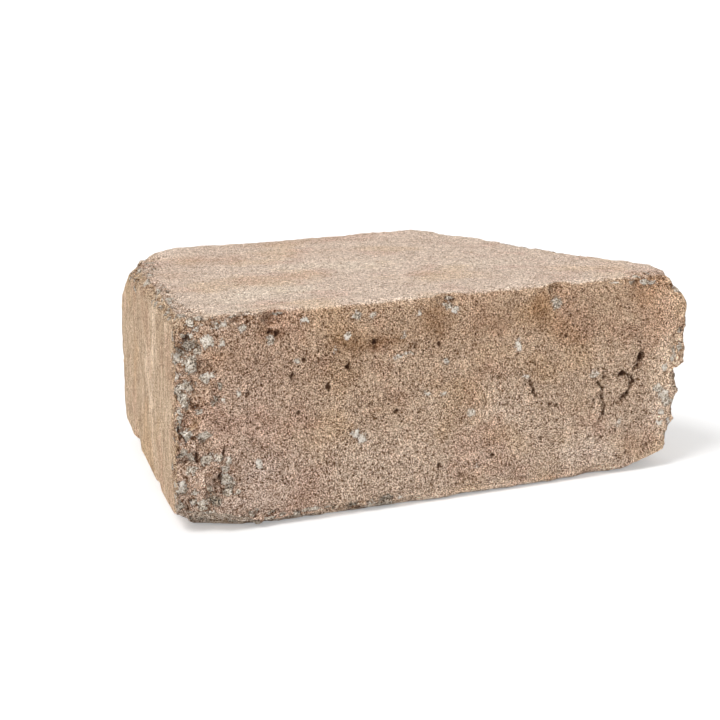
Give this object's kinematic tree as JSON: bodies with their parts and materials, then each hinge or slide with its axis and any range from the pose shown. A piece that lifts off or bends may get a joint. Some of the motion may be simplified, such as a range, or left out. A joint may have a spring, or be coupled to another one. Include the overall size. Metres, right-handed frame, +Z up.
{
  "type": "concrete garden wall block",
  "caption": "Tumbled concrete block, trapezoid in plan with a long front face, stacked dry in courses for low garden walls and edging.",
  "frame": {"origin": "middle of the footprint, on the bed that the block lies on", "axes": "+X along the long front face, +Y from the front face to the back, +Z up"},
  "size_m": [0.2566, 0.176, 0.092],
  "materials": {
    "tumbled_concrete": "rough cast, tumbled"
  },
  "bodies": {
    "root": {"wall_block": "tumbled_concrete"}
  },
  "joints": []
}
